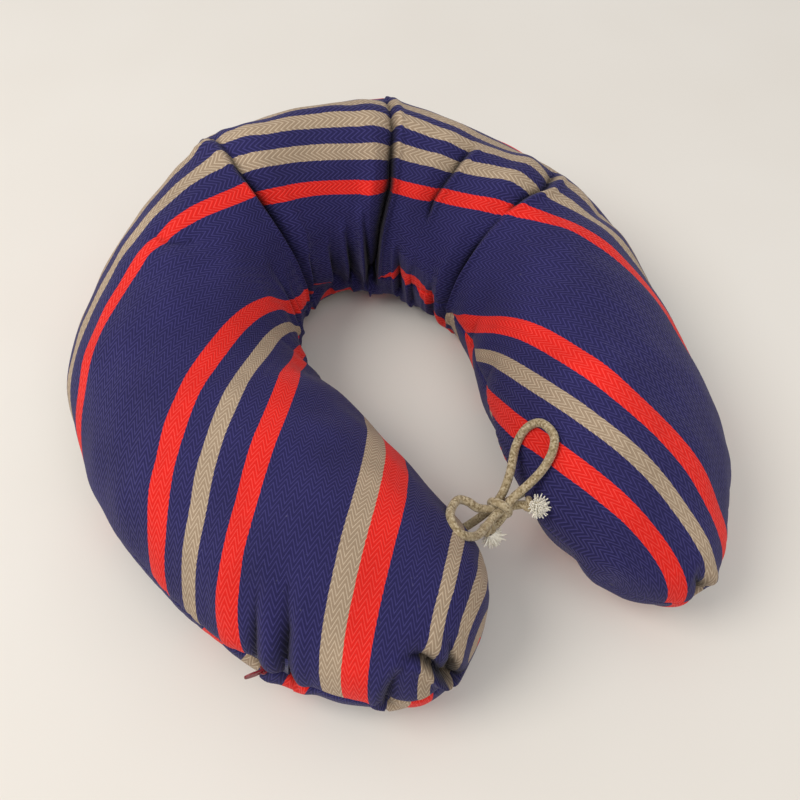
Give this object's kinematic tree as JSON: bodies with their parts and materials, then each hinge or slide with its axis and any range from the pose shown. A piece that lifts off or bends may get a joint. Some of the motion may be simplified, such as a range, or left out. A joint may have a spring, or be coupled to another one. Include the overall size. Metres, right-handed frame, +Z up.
{
  "type": "u shaped neck pillow",
  "caption": "U-shaped stuffed neck pillow in a striped herringbone cotton cover, with a concealed zip in the outer seam and a cord bow that ties its two tips.",
  "frame": {"origin": "middle of the pillow's bounding box in plan, on the surface that it rests on", "axes": "+Z up out of the table, +Y towards the closed back of the U, +X to the right seen from above with the tips nearest"},
  "size_m": [0.3596, 0.388, 0.1326],
  "materials": {
    "cover_cloth": "matte",
    "casing_cloth": "matte",
    "fibre_filling": "matte",
    "sewing_thread": "matte",
    "zip_tape": "matte",
    "zip_coil": "satin",
    "zip_metal": "satin",
    "tie_cord": "matte",
    "frayed_cotton": "matte"
  },
  "bodies": {
    "pillow": {"cover_top_panel": "cover_cloth", "cover_bottom_panel": "cover_cloth", "cover_seam_thread": "sewing_thread", "casing_top_panel": "casing_cloth", "casing_bottom_panel": "casing_cloth", "filling": "fibre_filling", "zip_tape_upper": "zip_tape", "zip_tape_lower": "zip_tape", "zip_coil_upper": "zip_coil", "zip_coil_lower": "zip_coil", "zip_stop_closed_end": "zip_coil", "zip_stop_open_end": "zip_coil", "tie_cord_left_lead": "tie_cord", "tie_cord_left_loop": "tie_cord", "tie_cord_left_tail": "tie_cord", "tie_cord_right_lead": "tie_cord", "tie_cord_right_loop": "tie_cord", "tie_cord_right_tail": "tie_cord", "bow_knot": "tie_cord", "stopper_knot_left": "tie_cord", "stopper_knot_right": "tie_cord", "frayed_end_left": "frayed_cotton", "frayed_end_right": "frayed_cotton"},
    "zip_slider": {"zip_slider": "zip_metal"},
    "zip_pull": {"zip_pull_tab": "zip_metal"}
  },
  "joints": [
    {"name": "zip_slide", "type": "hinge", "parent": "pillow", "child": "zip_slider", "pos_m": [0.0721, 0.0204, 0.0406], "axis": [0, 0, -1], "range_deg": [0, 42.9]},
    {"name": "pull_swing", "type": "hinge", "parent": "zip_slider", "child": "zip_pull", "pos_m": [-0.14244, -0.11314, 0.0406], "axis": [0, 0, -1], "range_deg": [-108, 46]}
  ]
}
